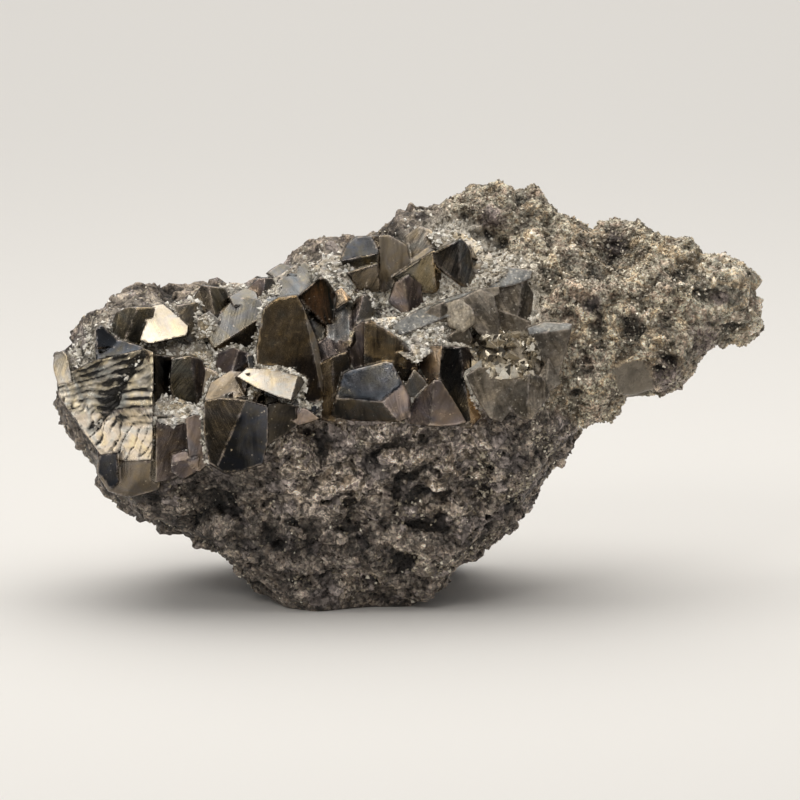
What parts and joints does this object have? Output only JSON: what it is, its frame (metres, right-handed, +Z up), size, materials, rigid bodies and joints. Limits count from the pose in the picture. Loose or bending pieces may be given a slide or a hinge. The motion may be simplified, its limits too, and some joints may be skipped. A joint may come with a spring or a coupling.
{
  "type": "tetrahedrite specimen",
  "caption": "Tetrahedrite specimen: steel grey, flat-faced crystals grown together along the front of a broken lump of ore that stands on a flat foot.",
  "frame": {"origin": "middle of the flat foot that the specimen stands on", "axes": "+X to the right along the specimen's length, +Y away from the side with the crystals, +Z up"},
  "size_m": [0.1427, 0.0673, 0.0817],
  "materials": {
    "ore": "rough",
    "tetrahedrite": "metallic lustre",
    "dull_tetrahedrite": "satin, finely grained"
  },
  "bodies": {
    "root": {"matrix": "ore", "left_crystals": "tetrahedrite", "front_crystals": "tetrahedrite", "upper_left_crystals": "tetrahedrite", "middle_crystals": "tetrahedrite", "right_crystals": "dull_tetrahedrite", "rear_crystals": "tetrahedrite"}
  },
  "joints": []
}
